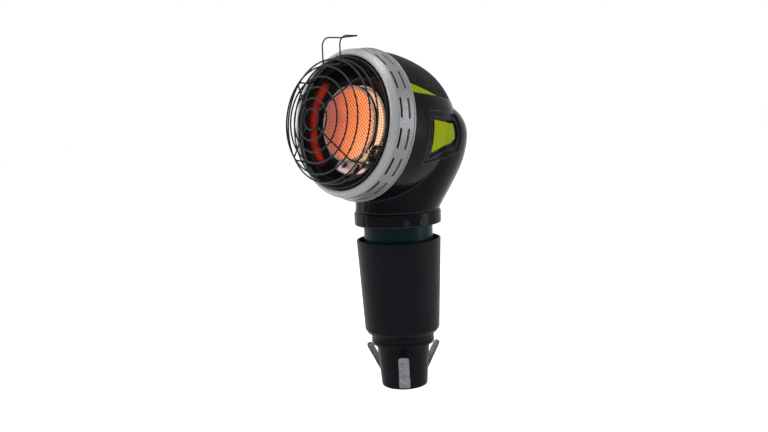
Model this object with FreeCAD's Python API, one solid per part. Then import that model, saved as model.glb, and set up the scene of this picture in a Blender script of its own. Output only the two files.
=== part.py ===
import FreeCAD, Part
import math
import os

# Portable propane heater: a round infrared head on a disposable gas cylinder,
# which stands in a cup adapter. Millimetres, +Z up. The origin is the centre of
# the adapter's flat underside, and the head looks along -Y, tilted a little up.

# Gas cylinder
cylinder_radius = 49.25
cylinder_wall = 1.6
cylinder_straight = 165.0
cylinder_dome = 15.0
valve_radius = 12.4
valve_rise = 20.0

# Cup adapter
base_radius = 33.0
base_height = 60.0
base_flare = 5.1
step_height = 25.0
step_overhang = 7.1
sleeve_depth = 133.0
sleeve_flare = 6.4
adapter_wall = 3.0
cylinder_clearance = 1.65

# Spring clips on the adapter's base
clip_width = 15.0
clip_thickness = 1.2
clip_foot = 14.0
clip_reach = 24.0
clip_rise = 37.0
clip_gap = 0.15
rivet_radius = 2.6

# Head: the axis of the burner, and where it stands over the cylinder
head_tilt = 8.2
neck_rise = 88.0
collar_drop = 45.2
collar_height = 20.2
collar_gap = 9.7
shell_wall = 3.0
web_thickness = 3.0
web_drop = 10.0
parting_gap = 0.15

# Housing bowl, turned about the head axis
bowl_radius = 103.0
bowl_front = 67.7
bowl_depth = 91.0
neck_radius = 60.0
shoulder_half_width = 97.0
shoulder_half_depth = 78.0
shoulder_shift = 20.0
shoulder_drop = 9.0
neck_fullness = 1.25
crown_round = 45.0
cover_inset = 0.6
cover_edge = 42.0
cover_rise = 13.0
strip_tail = 14.0
strip_inset = 0.4
seam = 0.25

# Side recess and its plate
frame_depth = 1.8
recess_depth = 4.2
plate_thickness = 1.4

# Front bezel
bezel_rear_radius = 103.6
bezel_front_radius = 99.7
bezel_opening = 90.45
bezel_rear = 68.0
bezel_shoulder = 91.8
bezel_face = 100.6
bezel_wall = 1.1
bezel_lip_depth = 9.0
hem_width = 2.4
hem_rise = 0.9
slot_count = 16
slot_sweep = 15.5
slot_width = 3.2
slot_rows = (76.0, 88.4)

# Wire guard
wire_radius = 1.1
face_ring_sizes = ((13.7, 152.8), (27.3, 150.9), (42.0, 146.1), (56.2, 141.1), (70.3, 136.7))
side_ring_sizes = ((80.8, 125.2), (82.1, 113.1), (87.2, 100.6))
rib_angles = (42.0, 138.0, 222.0, 318.0)
rib_foot = 97.3
loop_half_width = 17.2
loop_height = 36.5
loop_back = 33.0
loop_bend = 13.0
loop_wire = 0.95

# Burner and reflector
tile_radius = 50.0
tile_height = 16.0
tile_wall = 5.0
burner_face = 86.0
screen_thickness = 0.5
screen_pitch = 6.0
screen_hole = 2.1
rim_width = 1.2
rim_height = 3.5
plenum_wall = 1.0
plenum_depth = 24.0
reflector_wall = 0.8
reflector_lip = 77.3
reflector_height = 22.5
lip_radius = 1.4
shield_wall = 0.8
mixing_radius = 9.0
mixing_length = 34.0
orifice_radius = 7.0

# Gas control, on an axis square to the rear of the top cover
knob_place = (-35.4, 80.9)
knob_lean = 32.0
knob_radius = 15.0
knob_height = 11.0
well_radius = 20.0
well_depth = 10.0
dial_thickness = 0.8
stem_radius = 4.0
plunger_radius = 2.0
plunger_travel = 3.0
running_gap = 0.06
valve_width = 26.0
valve_length = 34.0
valve_neck = 13.0

# Igniter button, behind the knob
button_place = (-61.0, 60.9)
button_lean = 46.0
button_radius = 6.5
button_proud = 6.0
piezo_radius = 8.0
piezo_length = 34.0

# Regulator and tubes
regulator_radius = 26.0
regulator_height = 24.0
bonnet_height = 12.0
thread_gap = 0.35
seal_height = 1.5
gas_tube_radius = 3.5
pilot_tube_radius = 1.6

# Pilot group, below the right of the burner
pilot_angle = -46.0
pilot_orbit = 62.0
pilot_spread = 10.0
window_angle = 42.0

# Screws
screw_radius = 1.6
screw_head = 3.2
boss_radius = 5.5

# Heights that follow from the sizes above
ledge_z = base_height + step_height - adapter_wall
rim_z = ledge_z + sleeve_depth
dome_start_z = ledge_z + cylinder_straight
dome_top_z = dome_start_z + cylinder_dome
valve_top_z = dome_top_z + valve_rise
collar_z = valve_top_z - collar_drop
collar_top_z = collar_z + collar_height
collar_radius = cylinder_radius + collar_gap + shell_wall
web_z = valve_top_z - web_drop
head_z = valve_top_z + neck_rise
sleeve_radius = cylinder_radius + cylinder_clearance + adapter_wall

FAR = 160.0


def V(x, y, z):
    return FreeCAD.Vector(x, y, z)


head_frame = FreeCAD.Placement(V(0, 0, head_z), FreeCAD.Rotation(V(1, 0, 0), 90.0 - head_tilt))


def control_frame(place, lean):
    """A frame on the cover: its Z leaves the cover, leaning back from straight up."""
    forward, up = place
    return FreeCAD.Placement(V(0, up, forward), FreeCAD.Rotation(V(1, 0, 0), -90.0 - lean))


def placed(shape, *frames):
    """The shape moved from the innermost frame, named last, out to the world."""
    result = shape.copy()
    for frame in reversed(frames):
        result.Placement = frame.multiply(result.Placement)
    return result


def rounded_edges(corners, closed=True):
    """Straight edges between corners (point, fillet), with a tangent arc at each fillet."""
    count = len(corners)
    runs = []
    for i, (point, fillet) in enumerate(corners):
        if fillet == 0 or (not closed and i in (0, count - 1)):
            runs.append((point, None, point))
            continue
        before = corners[i - 1][0] - point
        after = corners[(i + 1) % count][0] - point
        half = before.getAngle(after) / 2
        before.normalize()
        after.normalize()
        trim = fillet / math.tan(half)
        inward = before + after
        inward.normalize()
        middle = point + inward * (fillet / math.sin(half) - fillet)
        runs.append((point + before * trim, middle, point + after * trim))
    edges = []
    for i, (start, middle, end) in enumerate(runs):
        if middle is not None:
            edges.append(Part.Arc(start, middle, end).toShape())
        if i + 1 < count or closed:
            following = runs[(i + 1) % count][0]
            if end.distanceToPoint(following) > 1e-6:
                edges.append(Part.makeLine(end, following))
    return edges


def section(corners):
    """A closed face in the XZ plane from (radius, height, fillet) corners."""
    return Part.Face(Part.Wire(rounded_edges([(V(r, 0, z), f) for r, z, f in corners])))


def turned(corners, sweep=360.0):
    """A solid turned about Z from (radius, height, fillet) corners."""
    return section(corners).revolve(V(0, 0, 0), V(0, 0, 1), sweep)


def post(radius, low, high, x=0.0, y=0.0):
    return Part.makeCylinder(radius, high - low, V(x, y, low), V(0, 0, 1))


def tube(outer, inner, low, high, x=0.0, y=0.0):
    return post(outer, low, high, x, y).cut(post(inner, low - 1, high + 1, x, y))


def block(x0, y0, z0, x1, y1, z1):
    return Part.makeBox(x1 - x0, y1 - y0, z1 - z0, V(x0, y0, z0))


def wire_along(corners, radius, closed=False):
    """A round wire along corners (point, bend radius)."""
    edges = rounded_edges(corners, closed)
    path = Part.Wire(edges)
    start = edges[0].valueAt(edges[0].FirstParameter)
    heading = edges[0].tangentAt(edges[0].FirstParameter)
    ring = Part.Wire(Part.makeCircle(radius, start, heading))
    return path.makePipeShell([ring], True, False)


def around(shape, angle):
    result = shape.copy()
    result.rotate(V(0, 0, 0), V(0, 0, 1), angle)
    return result


def mirrored(shape):
    return shape.mirror(V(0, 0, 0), V(1, 0, 0))


def side_prism(corners, low=-FAR, high=FAR):
    """A prism across the head, from (forward, up) corners seen from the side."""
    points = [V(low, up, forward) for forward, up in corners]
    face = Part.Face(Part.makePolygon(points + [points[0]]))
    return placed(face.extrude(V(high - low, 0, 0)), head_frame)


# Housing surfaces

def bowl_points(inset):
    """Outline of the bowl behind the bezel: (distance forward, radius) from front to tail."""
    drops = (
        (bowl_front, 0.0), (40.0, -0.2), (10.0, 3.4), (-20.0, 12.0),
        (-47.0, 28.0), (-69.0, 49.0), (-83.0, 73.0))
    outline = [V(bowl_radius - drop, 0, forward) for forward, drop in drops]
    tail = V(0, 0, -bowl_depth)
    curve = Part.BSplineCurve()
    curve.interpolate(outline + [tail], InitialTangent=V(0, 0, -1), FinalTangent=V(-1, 0, 0))
    if inset == 0:
        return curve
    inner = []
    for point in outline:
        across = curve.tangent(curve.parameter(point))[0]
        inner.append(point - V(-across.z, 0, across.x) * inset)
    inner[0] = V(bowl_radius - inset, 0, bowl_front)
    shell = Part.BSplineCurve()
    shell.interpolate(inner + [tail + V(0, 0, inset)], InitialTangent=V(0, 0, -1), FinalTangent=V(-1, 0, 0))
    return shell


def bowl(inset=0.0, reach=0.0):
    curve = bowl_points(inset)
    start = curve.value(curve.FirstParameter)
    end = curve.value(curve.LastParameter)
    front = start + V(0, 0, reach)
    centre = V(0, 0, front.z)
    edges = [curve.toShape(), Part.makeLine(end, centre), Part.makeLine(centre, front)]
    if reach > 0:
        edges.append(Part.makeLine(front, start))
    face = Part.Face(Part.Wire(edges))
    return placed(face.revolve(V(0, 0, 0), V(0, 0, 1), 360), head_frame)


def neck_section(height):
    """Half width, half depth and shift back of the lower body at a height."""
    shoulder_z = head_z - shoulder_drop
    if height < shoulder_z:
        swell = math.sin(math.pi / 2 * (height - collar_top_z) / (shoulder_z - collar_top_z))
        spread = swell ** neck_fullness
        drop = 0.0
        shift = shoulder_shift * swell ** 0.8
    else:
        rise = height - shoulder_z
        spread = 1.0
        drop = crown_round - math.sqrt(crown_round ** 2 - rise ** 2)
        shift = shoulder_shift - 0.05 * rise
    half_width = neck_radius + spread * (shoulder_half_width - neck_radius) - drop
    half_depth = neck_radius + spread * (shoulder_half_depth - neck_radius) - drop
    return half_width, half_depth, shift


def neck(inset=0.0):
    """The lower body: oval sections that widen and shift back from collar to shoulder, then crown over."""
    shoulder_z = head_z - shoulder_drop
    rises = [i / 6 for i in range(7)]
    heights = [collar_top_z + rise * (shoulder_z - collar_top_z) for rise in rises]
    turns = [math.radians(angle) for angle in (18.0, 34.0, 48.0, 60.0, 69.0)]
    heights += [shoulder_z + crown_round * math.sin(turn) for turn in turns]
    rings = []
    for height in heights:
        half_width, half_depth, shift = neck_section(height)
        lower = inset * max(0.0, (height - shoulder_z) / crown_round)
        oval = Part.Ellipse(V(0, 0, 0), half_width - inset, half_depth - inset).toShape()
        oval.translate(V(0, shift, height - lower))
        rings.append(Part.Wire(oval))
    body = Part.makeLoft(rings, True, False)
    front = placed(block(-FAR, -FAR, bowl_front, FAR, FAR, bowl_front + FAR), head_frame)
    return body.cut(front)


def collar():
    skirt = turned([(0, collar_z, 0), (collar_radius, collar_z, 2.0), (collar_radius, collar_top_z, 4.5),
                    (neck_radius - 3, collar_top_z, 0), (neck_radius - 3, collar_top_z + 6, 0),
                    (0, collar_top_z + 6, 0)])
    return skirt


surfaces = {}


def outer(inset=0.0):
    """The housing's whole outside, moved inwards by inset."""
    if inset not in surfaces:
        surfaces[inset] = bowl(inset).fuse(neck(inset))
    return surfaces[inset]


frame_corners = ((38.4, 21.2), (-31.8, 22.3), (-36.0, -12.0), (-32.0, -27.8), (-11.5, -37.7), (34.3, -49.7))
recess_corners = ((32.3, 13.8), (-24.2, 13.6), (-30.7, -4.9), (-25.3, -21.6), (24.5, -42.5))
plate_corners = ((25.7, 10.0), (-20.0, 8.6), (-22.3, -11.4), (-14.1, -18.7), (22.2, -33.2))
backing_corners = ((38.0, 19.0), (-30.0, 19.0), (-37.0, -6.0), (-31.0, -27.0), (30.0, -48.0))
boss_places = ((48.0, -62.0), (80.0, -24.0), (-42.0, -79.0))


def shell_top():
    """Everything above the seam between the side shells and the top cover."""
    return placed(block(-FAR, cover_edge, -FAR, FAR, FAR + cover_edge, FAR), head_frame)


def screw_bosses():
    """Pillars across the housing, through which the two shells are screwed together."""
    pillars = []
    for y, up in boss_places:
        pillar = Part.makeCylinder(boss_radius, 2 * FAR, V(-FAR, y, head_z + up), V(1, 0, 0))
        pillars.append(pillar)
    return pillars


def screw_holes():
    holes = []
    for y, up in boss_places:
        z = head_z + up
        holes.append(Part.makeCylinder(screw_radius + 0.05, 22.0, V(-11.0, y, z), V(1, 0, 0)))
        holes.append(Part.makeCylinder(screw_head + 0.4, FAR, V(-10.0 - FAR, y, z), V(1, 0, 0)))
    return holes


def housing_screws():
    screws = []
    for y, up in boss_places:
        z = head_z + up
        shank = Part.makeCylinder(screw_radius, 20.0, V(-10.0, y, z), V(1, 0, 0))
        cap = Part.makeCylinder(screw_head, 2.4, V(-12.4, y, z), V(1, 0, 0))
        cross = block(-13.0, y - 0.5, z - 2.2, -11.4, y + 0.5, z + 2.2)
        slot = block(-13.0, y - 2.2, z - 0.5, -11.4, y + 2.2, z + 0.5)
        screws.append(shank.fuse(cap).cut([cross, slot]))
    return Part.makeCompound(screws)


collar_screw_angles = (-34.0, -12.0, 192.0, 214.0)
collar_screw_rise = 6.5


def collar_screw_sockets():
    z = collar_z + collar_screw_rise
    sockets = []
    for angle in collar_screw_angles:
        out = V(math.cos(math.radians(angle)), math.sin(math.radians(angle)), 0)
        sockets.append(Part.makeCylinder(screw_head, 6.0, out * (collar_radius - 1.4) + V(0, 0, z), out))
        start = out * (collar_radius - 6) + V(0, 0, z)
        sockets.append(Part.makeCylinder(screw_radius + 0.05, 8.0, start, out))
    return sockets


def collar_screws():
    z = collar_z + collar_screw_rise
    screws = []
    for angle in collar_screw_angles:
        out = V(math.cos(math.radians(angle)), math.sin(math.radians(angle)), 0)
        seat = out * (collar_radius - 1.4) + V(0, 0, z)
        shank = Part.makeCylinder(screw_radius, 3.6, seat - out * 3.6, out)
        cap = Part.makeCylinder(screw_head - 0.3, 1.0, seat, out)
        screws.append(shank.fuse(cap))
    return Part.makeCompound(screws)


cover_screw_places = ((29.0, 57.0), (-9.0, 61.0))


def cover_screw_axes():
    """Seat and direction of each cover screw, in the head's frame."""
    curve = bowl_points(cover_inset)
    axes = []
    for forward, angle in cover_screw_places:
        radius = curve_radius(curve, forward)
        for side in (angle, -angle):
            turn = math.radians(side)
            out = V(math.sin(turn), math.cos(turn), 0)
            axes.append((out * radius + V(0, 0, forward), out))
    return axes


def curve_radius(curve, forward):
    """Radius of an outline curve where it passes a distance forward."""
    level = Part.makeLine(V(-1, 0, forward), V(bowl_radius + 10, 0, forward))
    gap, pairs, _ = curve.toShape().distToShape(level)
    return pairs[0][0].x


def cover_screws():
    screws = []
    for seat, out in cover_screw_axes():
        base = seat - out * 1.2
        shank = Part.makeCylinder(screw_radius, 3.4, base - out * 3.4, out)
        cap = Part.makeCylinder(screw_head - 0.6, 1.3, base, out)
        screws.append(placed(shank.fuse(cap), head_frame))
    return Part.makeCompound(screws)


def cover_screw_sockets():
    sockets = []
    for seat, out in cover_screw_axes():
        base = seat - out * 1.2
        wide = Part.makeCylinder(screw_head - 0.4, 5.0, base, out)
        thin = Part.makeCylinder(screw_radius + 0.05, 8.0, base - out * 6, out)
        sockets += [placed(wide, head_frame), placed(thin, head_frame)]
    return sockets


shield_screw_angles = (10.0, 170.0, 210.0, 250.0, 290.0, 330.0)
shield_seat = bowl_front + 0.3


def shield_screw_orbit():
    return bowl_radius - shell_wall - screw_head


def shield_bosses():
    """Lugs inside the bowl's mouth that take the heat shield's screws."""
    lugs = []
    for angle in shield_screw_angles:
        lug = post(4.2, bowl_front - 16.0, bowl_front, shield_screw_orbit(), 0)
        lug = lug.cut(post(screw_radius + 0.05, bowl_front - 12.0, bowl_front + 1, shield_screw_orbit(), 0))
        lugs.append(placed(around(lug, angle), head_frame))
    return lugs


def shield_screws():
    screws = []
    for angle in shield_screw_angles:
        base = shield_seat + shield_wall
        shank = post(screw_radius, base - 10.0, base, shield_screw_orbit(), 0)
        cap = post(screw_head - 0.4, base, base + 2.0, shield_screw_orbit(), 0)
        screws.append(placed(around(shank.fuse(cap), angle), head_frame))
    return Part.makeCompound(screws)


def housing():
    """Both side shells in one, before they are parted."""
    room = outer(shell_wall)
    backing = side_prism(backing_corners).common(room).cut(outer(recess_depth + shell_wall))
    above_web = block(-FAR, -FAR, web_z + web_thickness, FAR, FAR, head_z + FAR)
    mouth = placed(post(bowl_radius - shell_wall, bowl_front - 3, bowl_front + 40), head_frame)
    cavity = room.common(above_web).cut(backing)
    bore = post(collar_radius - shell_wall, collar_z - 1, collar_top_z - shell_wall)
    bore = bore.fuse(post(neck_radius - shell_wall - 2.0, collar_z, web_z))
    inlet = post(valve_radius + thread_gap + 4.6, web_z - 1, web_z + web_thickness + 1)
    body = outer().fuse(collar()).cut([cavity, bore, inlet, mouth])
    inside = outer(shell_wall - 0.5)
    pillars = [pillar.common(inside) for pillar in screw_bosses()]
    lugs = [lug.common(inside) for lug in shield_bosses()]
    body = body.fuse(pillars + lugs)
    step = side_prism(frame_corners).cut(outer(frame_depth))
    pocket = side_prism(recess_corners).cut(outer(recess_depth))
    return body.cut([step, pocket, shell_top()] + screw_holes() + collar_screw_sockets())


def strip_corners(gap):
    low = cover_edge + gap
    return ((bowl_front, low), (bowl_front, cover_edge + cover_rise - gap), (strip_tail + 3.0 * gap, low))


def cover_corners():
    low = cover_edge + seam
    high = cover_edge + cover_rise + seam
    return ((bowl_front, high), (strip_tail, low), (-FAR, low), (-FAR, FAR), (bowl_front, FAR))


def knob_well(frame, radius, depth, hole):
    """A round pocket sunk in the cover, and the tool that opens it."""
    cup = post(radius + 2.2, -depth - 2.4, 30.0)
    room = post(radius, -depth, 31.0).fuse(post(hole, -depth - 4.0, 0))
    return placed(cup, head_frame, frame), placed(room, head_frame, frame)


def top_cover():
    skin = outer(cover_inset)
    plain = side_prism(cover_corners())
    shell = plain.common(skin).cut(outer(cover_inset + shell_wall))
    cup, room = knob_well(control_frame(knob_place, knob_lean), well_radius, well_depth, stem_radius + 0.5)
    small_cup, small_room = knob_well(button_frame(), button_radius + 2.0, 5.6, 4.6)
    shell = shell.fuse([cup.common(skin), small_cup.common(skin)])
    piezo_room = placed(post(piezo_radius + 0.4, -20.0, -8.0), head_frame, button_frame())
    return shell.cut([room, small_room, piezo_room] + cover_screw_sockets())


def accent_strip():
    wedge = side_prism(strip_corners(seam), 20.0, FAR)
    return wedge.common(outer(strip_inset)).cut(outer(strip_inset + 2.0))


def label_plate():
    plate = side_prism(plate_corners, 20.0, FAR)
    return plate.common(outer(recess_depth - plate_thickness)).cut(outer(recess_depth))


# Adapter and clips

def adapter_cup():
    top = base_radius + base_flare
    step = top + step_overhang
    inside = sleeve_radius - adapter_wall
    rim = sleeve_radius + sleeve_flare
    step_z = base_height + 3.0
    sleeve_z = base_height + step_height
    cup = turned([
        (0, 0, 0), (base_radius, 0, 1.5), (top, base_height, 0), (top + 1.0, base_height + 1.0, 0),
        (step, step_z, 2.0), (step, step_z + 5.0, 0), (step - 1.2, step_z + 5.6, 0),
        (step - 1.2, step_z + 6.6, 0), (step, step_z + 7.2, 0), (step, sleeve_z - 8.0, 2.0),
        (sleeve_radius - 3.0, sleeve_z - 5.0, 0), (sleeve_radius, sleeve_z, 1.5),
        (rim, rim_z, 1.2), (rim - adapter_wall, rim_z, 1.2),
        (inside, ledge_z, 0.5), (top - adapter_wall + 2.0, ledge_z, 1.0),
        (top - adapter_wall, base_height, 0), (base_radius - adapter_wall, adapter_wall, 1.0),
        (0, adapter_wall, 0)])
    return cup.cut([rivet_holes(angle) for angle in clip_angles.values()])


clip_angles = {"clip_front": -46.0, "clip_right": 74.0, "clip_left": 194.0}


def base_wall(z):
    """Outer radius of the adapter's base at a height."""
    return base_radius + base_flare * z / base_height


def clip_bend_z():
    return clip_foot + 3.0


def clip_feet():
    """The riveted lower ends of the three clips, bent to the round base."""
    high = clip_bend_z()
    low = high - clip_foot
    inner_low = base_wall(low) + clip_gap
    inner_high = base_wall(high) + clip_gap
    half = math.degrees(clip_width / 2 / base_radius)
    feet = []
    for angle in clip_angles.values():
        foot = turned([
            (inner_low, low, 0), (inner_low + clip_thickness, low, 0),
            (inner_high + clip_thickness, high, 0), (inner_high, high, 0)], 2 * half)
        feet.append(around(foot, angle - half).cut(rivet_holes(angle)))
    return Part.makeCompound(feet)


def rivet_axis(angle):
    z = clip_bend_z() - clip_foot / 2
    out = V(math.cos(math.radians(angle)), math.sin(math.radians(angle)), 0)
    return out, out * base_wall(z) + V(0, 0, z)


def rivet_holes(angle):
    out, seat = rivet_axis(angle)
    return Part.makeCylinder(rivet_radius / 2 + 0.05, 8.0, seat - out * 4, out)


def clip_rivets():
    rivets = []
    for angle in clip_angles.values():
        out, seat = rivet_axis(angle)
        shank = Part.makeCylinder(rivet_radius / 2, adapter_wall + clip_thickness + 1.0,
                                  seat - out * (adapter_wall + 0.5), out)
        proud = seat + out * (clip_thickness + clip_gap + 0.3)
        cap = Part.makeCone(rivet_radius, rivet_radius * 0.7, 1.0, proud, out)
        rivets.append(shank.fuse(cap))
    return Part.makeCompound(rivets)


def clip_leaf(angle):
    """The free, outward-leaning leaf of one clip, with its rounded tip."""
    root_x = base_wall(clip_bend_z()) + clip_gap
    length = math.hypot(clip_reach, clip_rise)
    lean = math.degrees(math.atan2(clip_reach, clip_rise))
    root_z = clip_bend_z() + clip_gap + clip_thickness * math.sin(math.radians(lean))
    half = clip_width / 2
    tip = half * 0.8
    corners = [
        (V(0, -half, 0), 0), (V(0, half, 0), 0), (V(0, half, length), tip), (V(0, -half, length), tip)]
    leaf = Part.Face(Part.Wire(rounded_edges(corners))).extrude(V(clip_thickness, 0, 0))
    leaf.rotate(V(0, 0, 0), V(0, 1, 0), lean)
    leaf.translate(V(root_x + 0.3, 0, root_z))
    return around(leaf, angle)


# Cylinder

def propane_cylinder():
    """Drawn can: a dished floor with a round foot, a straight wall, a dome and a boss."""
    r = cylinder_radius
    w = cylinder_wall
    boss = valve_radius + 2.0
    top = dome_top_z
    floor = ledge_z + 4.0
    foot = ledge_z + 0.1
    return turned([
        (0, floor, 0), (r - 14.0, floor, 2.0), (r - 10.0, foot, 3.0), (r, foot, 3.9),
        (r, dome_start_z, 14.0), (boss + 4.0, top - 2.0, 3.0), (boss, top, 0), (5.0, top, 0),
        (5.0, top - w - 1.0, 0), (boss + 2.0, top - w - 2.5, 2.0), (r - w, dome_start_z - w * 0.6, 12.0),
        (r - w, ledge_z + w, 2.3), (r - 9.0, ledge_z + w, 2.0), (r - 14.5, floor + w, 1.5),
        (0, floor + w, 0)])


def cylinder_valve():
    """Threaded fitting in the cylinder's boss; its thread is kept as a plain land."""
    r = valve_radius
    low = dome_top_z + 0.05
    body = turned([
        (0, low, 0), (r + 1.5, low, 0.5), (r + 1.5, low + 3.0, 0.5), (r - 1.5, low + 4.5, 0),
        (r - 1.5, low + 6.0, 0), (r, low + 7.0, 0), (r, valve_top_z, 1.0), (4.0, valve_top_z, 0),
        (4.0, valve_top_z - 8.0, 0), (0, valve_top_z - 8.0, 0)])
    spigot = post(4.8, dome_top_z - 6.0, low + 0.5)
    return body.fuse(spigot)


# Regulator

def seal_ceiling():
    return valve_top_z + seal_height + 0.1


def inlet_seal():
    """Flat rubber washer between the cylinder's fitting and the regulator."""
    return tube(valve_radius - 1.5, 4.5, valve_top_z + 0.03, valve_top_z + 0.03 + seal_height)


def regulator():
    seat = web_z + web_thickness + 0.05
    nut = valve_radius + thread_gap + 4.2
    top = seat + regulator_height
    body = turned([
        (0, web_z - 6.0, 0), (nut, web_z - 6.0, 1.0), (nut, seat, 0), (regulator_radius, seat, 1.5),
        (regulator_radius, seat + 8.0, 1.0), (regulator_radius + 3.0, seat + 8.0, 0.8),
        (regulator_radius + 3.0, seat + 11.0, 0.8), (regulator_radius, seat + 11.0, 1.0),
        (regulator_radius - 3.0, top, 3.0), (14.0, top, 2.0), (12.0, top + bonnet_height, 2.0),
        (0, top + bonnet_height, 0)])
    return body.cut(post(valve_radius + thread_gap, web_z - 7.0, seal_ceiling()))


def regulator_top():
    return web_z + web_thickness + 0.05 + regulator_height + bonnet_height


def tip_switch():
    """Weighted switch beside the regulator that shuts the gas if the heater falls."""
    floor = web_z + web_thickness + 0.1
    case = block(-9.0, regulator_radius + 7.0, floor, 9.0, regulator_radius + 21.0, floor + 16.0)
    cap = post(5.5, floor + 15.0, floor + 20.0, 0, regulator_radius + 14.0)
    back = regulator_radius + 20.0
    tags = [block(x - 1.5, back, floor + 9.0, x + 1.5, back + 6.0, floor + 10.0) for x in (-4.5, 4.5)]
    return case.fuse([cap] + tags)


# Burner

def tile_foot():
    return burner_face - tile_height


def plenum_back():
    return tile_foot() - plenum_depth


def burner_tile():
    """Hollow ceramic cap that glows on its face and round its side."""
    bore = tile_radius - tile_wall
    face = burner_face - 0.1
    foot = tile_foot() + 0.1
    return placed(turned([
        (bore, foot, 0), (tile_radius, foot, 0), (tile_radius, face, 0.8), (0, face, 0),
        (0, face - tile_wall, 0), (bore, face - tile_wall, 2.0)]), head_frame)


def screen_radius():
    return tile_radius + 0.1 + screen_thickness


def burner_screen():
    """Wire screen over the tile: a face pierced in a hexagonal pattern, and a side band."""
    rows = int(tile_radius / (screen_pitch * 0.866)) + 1
    holes = []
    for row in range(-rows, rows + 1):
        y = row * screen_pitch * 0.866
        shift = screen_pitch / 2 if row % 2 else 0.0
        for column in range(-rows, rows + 1):
            x = column * screen_pitch + shift
            if math.hypot(x, y) < tile_radius - screen_hole - 1.8:
                holes.append(Part.Wire(Part.makeCircle(screen_hole, V(x, y, 0))))
    disc = Part.Face([Part.Wire(Part.makeCircle(screen_radius(), V(0, 0, 0)))] + holes)
    disc.validate()
    screen = disc.extrude(V(0, 0, screen_thickness))
    screen.translate(V(0, 0, burner_face))
    band = tube(screen_radius(), tile_radius + 0.1, tile_foot() + 0.1, burner_face + screen_thickness / 2)
    band = band.cut(tube(tile_radius + 0.1, tile_radius - 5.0, tile_foot(), burner_face))
    return placed(screen.fuse(band), head_frame)


def plenum_radius():
    return tile_radius + plenum_wall + 0.3


def burner_plenum():
    r = plenum_radius()
    back = plenum_back()
    seat = tile_foot()
    lip = tile_radius - tile_wall - 1.0
    return placed(turned([
        (mixing_radius + 0.1, back, 0), (30.0, back, 4.0), (r, back + 14.0, 4.0), (r, seat, 0),
        (lip, seat, 0), (lip, seat - plenum_wall, 0), (r - plenum_wall, seat - plenum_wall, 0.5),
        (r - plenum_wall, back + 15.0, 3.0), (29.5, back + plenum_wall, 3.0),
        (mixing_radius + 0.1, back + plenum_wall, 0)]), head_frame)


def burner_rim():
    """Pressed ring round the burner's front corner that clamps the screen."""
    bore = screen_radius() + 0.1
    outside = bore + rim_width
    face = burner_face + screen_thickness + 0.1
    low = burner_face + screen_thickness - rim_height
    return placed(turned([
        (bore, low, 0), (outside, low, 0), (outside, face + 1.0, 1.0),
        (tile_radius - 2.0, face + 1.0, 0.5), (tile_radius - 2.0, face, 0), (bore, face, 0)]), head_frame)


def mixing_tube():
    """Venturi that carries gas and air forward into the plenum."""
    front = plenum_back() + 8.0
    back = front - mixing_length
    r = mixing_radius
    return placed(turned([
        (r + 2.0, back, 0), (r + 3.0, back, 0), (r, back + 9.0, 2.0), (r, front, 0), (r - 1.0, front, 0),
        (r - 1.0, back + 9.4, 2.0)]), head_frame)


def orifice_holder():
    """Brass block behind the mixing tube, with the jet on its nose."""
    tail = plenum_back() + 8.0 - mixing_length
    body = post(orifice_radius, tail - 12.0, tail - 2.0)
    nose = Part.makeCone(orifice_radius - 2.0, 2.0, 7.0, V(0, 0, tail - 2.0), V(0, 0, 1))
    socket = Part.makeCylinder(gas_tube_radius + 2.0, orifice_radius + 3.0, V(0, 0, tail - 7.0), V(0, 1, 0))
    front = plenum_back() - 0.1
    arms = [block(x - 1.5, -3.0, tail - 6.0, x + 1.5, 3.0, front) for x in (-14.0, 14.0)]
    bridge = block(-15.5, -3.0, tail - 9.0, 15.5, 3.0, tail - 6.0)
    return placed(body.fuse([nose, socket, bridge] + arms), head_frame)


def reflector_curve(offset):
    """The bowl's section from its foot by the burner to its lip, set back by an offset."""
    foot = plenum_radius() + 2.2
    low = shield_seat + shield_wall + 0.4 + reflector_wall
    reach = reflector_lip - foot
    shift = offset * 0.7
    shares = ((0.0, 0.0), (0.44, 0.13), (0.78, 0.53), (1.0, 1.0))
    return [V(foot + out * reach + shift, 0, low + rise * reflector_height - shift) for out, rise in shares]


def lip_centre():
    return reflector_curve(0.0)[-1] + V(1.0, 0, 0)


def reflector():
    """Polished bowl round the burner with a rolled lip and a window for the pilot group."""
    top = Part.BSplineCurve()
    top.interpolate(reflector_curve(0.0))
    low = Part.BSplineCurve()
    low.interpolate(reflector_curve(reflector_wall))
    front = reflector_curve(0.0)
    rear = reflector_curve(reflector_wall)
    ends = [Part.makeLine(front[-1], rear[-1]), Part.makeLine(rear[0], front[0])]
    edges = Part.__sortEdges__([low.toShape(), top.toShape()] + ends)
    bowl_sheet = Part.Face(Part.Wire(edges)).revolve(V(0, 0, 0), V(0, 0, 1), 360)
    inner = plenum_radius()
    outside = pilot_orbit + 14.2
    low_z = shield_seat
    high_z = lip_centre().z - lip_radius
    window = turned([
        (inner, low_z, 0), (outside, low_z, 0), (outside, high_z, 0), (inner, high_z, 0)], window_angle)
    bowl_sheet = bowl_sheet.cut(around(window, pilot_angle - window_angle / 2))
    centre = lip_centre()
    lip = Part.makeTorus(centre.x, lip_radius, V(0, 0, centre.z), V(0, 0, 1))
    return placed(bowl_sheet.fuse(lip), head_frame)


def reflector_flange():
    """Black sheet can that carries the bowl's lip and closes the gap to the bezel."""
    top = bezel_face - bezel_lip_depth - 0.15
    bore = lip_centre().x + lip_radius + 0.3
    outside = bezel_opening + bezel_wall + 0.6
    foot = shield_seat + shield_wall + 0.05
    return placed(turned([
        (bore, top, 0), (bore, top - shield_wall, 0), (outside - shield_wall, top - shield_wall, 0),
        (outside - shield_wall, foot, 0), (outside, foot, 0), (outside, top, 1.0)]), head_frame)


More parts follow.
